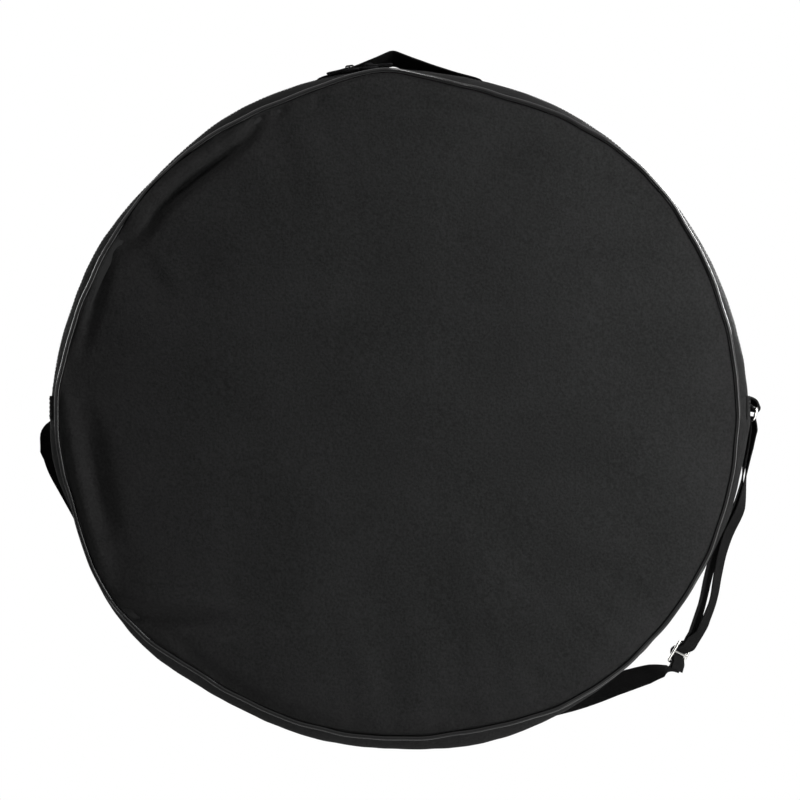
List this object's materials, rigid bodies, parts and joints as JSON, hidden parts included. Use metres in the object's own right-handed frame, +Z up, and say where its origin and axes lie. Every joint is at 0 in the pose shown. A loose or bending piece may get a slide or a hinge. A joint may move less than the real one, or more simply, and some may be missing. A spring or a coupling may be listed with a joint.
{
  "type": "frame drum bag",
  "caption": "Soft round padded carrying bag for a frame drum, with piped seams, a zipped lid flap, a top handle and an adjustable shoulder strap.",
  "frame": {"origin": "hang point, under the peak of the top handle where a hook bears", "axes": "+X to the right seen from the front, +Y from the front face to the back, +Z up"},
  "size_m": [0.5865, 0.1066, 0.566],
  "materials": {
    "cloth": "woven, matt",
    "padding": "soft foam",
    "lining": "smooth woven",
    "piping": "glossy vinyl",
    "webbing": "ribbed webbing",
    "zip": "woven tape and nylon coil",
    "slider_black": "satin black",
    "nickel": "bright nickel plate"
  },
  "bodies": {
    "bag": {"front_panel_lower": "cloth", "back_panel": "cloth", "base_gusset": "cloth", "rear_zip_strip": "cloth", "end_tab_right": "cloth", "end_tab_left": "cloth", "front_foam_lower": "padding", "back_foam": "padding", "base_gusset_foam": "padding", "rear_zip_strip_foam": "padding", "front_lining_lower": "lining", "back_lining": "lining", "base_gusset_lining": "lining", "rear_zip_strip_lining": "lining", "front_piping_lower": "piping", "back_piping": "piping", "front_seam_binding_lower": "webbing", "back_seam_binding": "webbing", "strap_ring_tab": "webbing", "rear_zip_tape": "zip", "rear_zip_coil": "zip"},
    "flap": {"front_panel_upper": "cloth", "front_foam_upper": "padding", "front_lining_upper": "lining", "front_piping_upper": "piping", "front_seam_binding_upper": "webbing", "front_zip_strip": "cloth", "front_zip_strip_lining": "lining", "front_zip_tape": "zip", "front_zip_coil": "zip"},
    "slider_right": {"zip_slider_right": "slider_black"},
    "slider_left": {"zip_slider_left": "slider_black"},
    "pull_right": {"zip_pull_right": "slider_black"},
    "pull_left": {"zip_pull_left": "slider_black"},
    "handle": {"handle": "webbing"},
    "strap": {"strap_sewn_end": "webbing", "shoulder_strap": "webbing", "strap_buckle": "nickel"},
    "ring": {"strap_ring": "nickel"}
  },
  "joints": [
    {"name": "flap_open", "type": "hinge", "parent": "bag", "child": "flap", "pos_m": [0.0055, -0.054, -0.27535], "axis": [1, 0, 0], "range_deg": [0, 165]},
    {"name": "slider_right_run", "type": "hinge", "parent": "bag", "child": "slider_right", "pos_m": [0.0055, -0.022, -0.29135], "axis": [0, 1, 0], "range_deg": [0, 89.9]},
    {"name": "slider_left_run", "type": "hinge", "parent": "bag", "child": "slider_left", "pos_m": [0.0055, -0.022, -0.29135], "axis": [0, 1, 0], "range_deg": [-77, 0]},
    {"name": "pull_right_turn", "type": "hinge", "parent": "slider_right", "child": "pull_right", "pos_m": [-0.01919, -0.022, -0.00822], "axis": [0, -1, 0], "range_deg": [0, 150]},
    {"name": "pull_left_turn", "type": "hinge", "parent": "slider_left", "child": "pull_left", "pos_m": [-0.03461, -0.022, -0.00999], "axis": [0, 1, 0], "range_deg": [0, 150]},
    {"name": "handle_lift", "type": "slide", "parent": "bag", "child": "handle", "axis": [0, 0, 1], "range_m": [-0.012, 0], "deforming": ["handle"]},
    {"name": "strap_swing", "type": "hinge", "parent": "bag", "child": "strap", "pos_m": [0.0055, 0, -0.28085], "axis": [1, 0, 0], "range_deg": [0, 150], "deforming": ["strap_sewn_end", "strap_ring_tab"]},
    {"name": "ring_swing", "type": "hinge", "parent": "strap", "child": "ring", "pos_m": [0.2939, 0, -0.28085], "axis": [0, 1, 0], "range_deg": [-6, 6]}
  ],
  "couplings": [
    {"joint": "slider_right_run", "follows": "flap_open", "ratio": 0.54},
    {"joint": "slider_left_run", "follows": "flap_open", "ratio": -0.466}
  ]
}
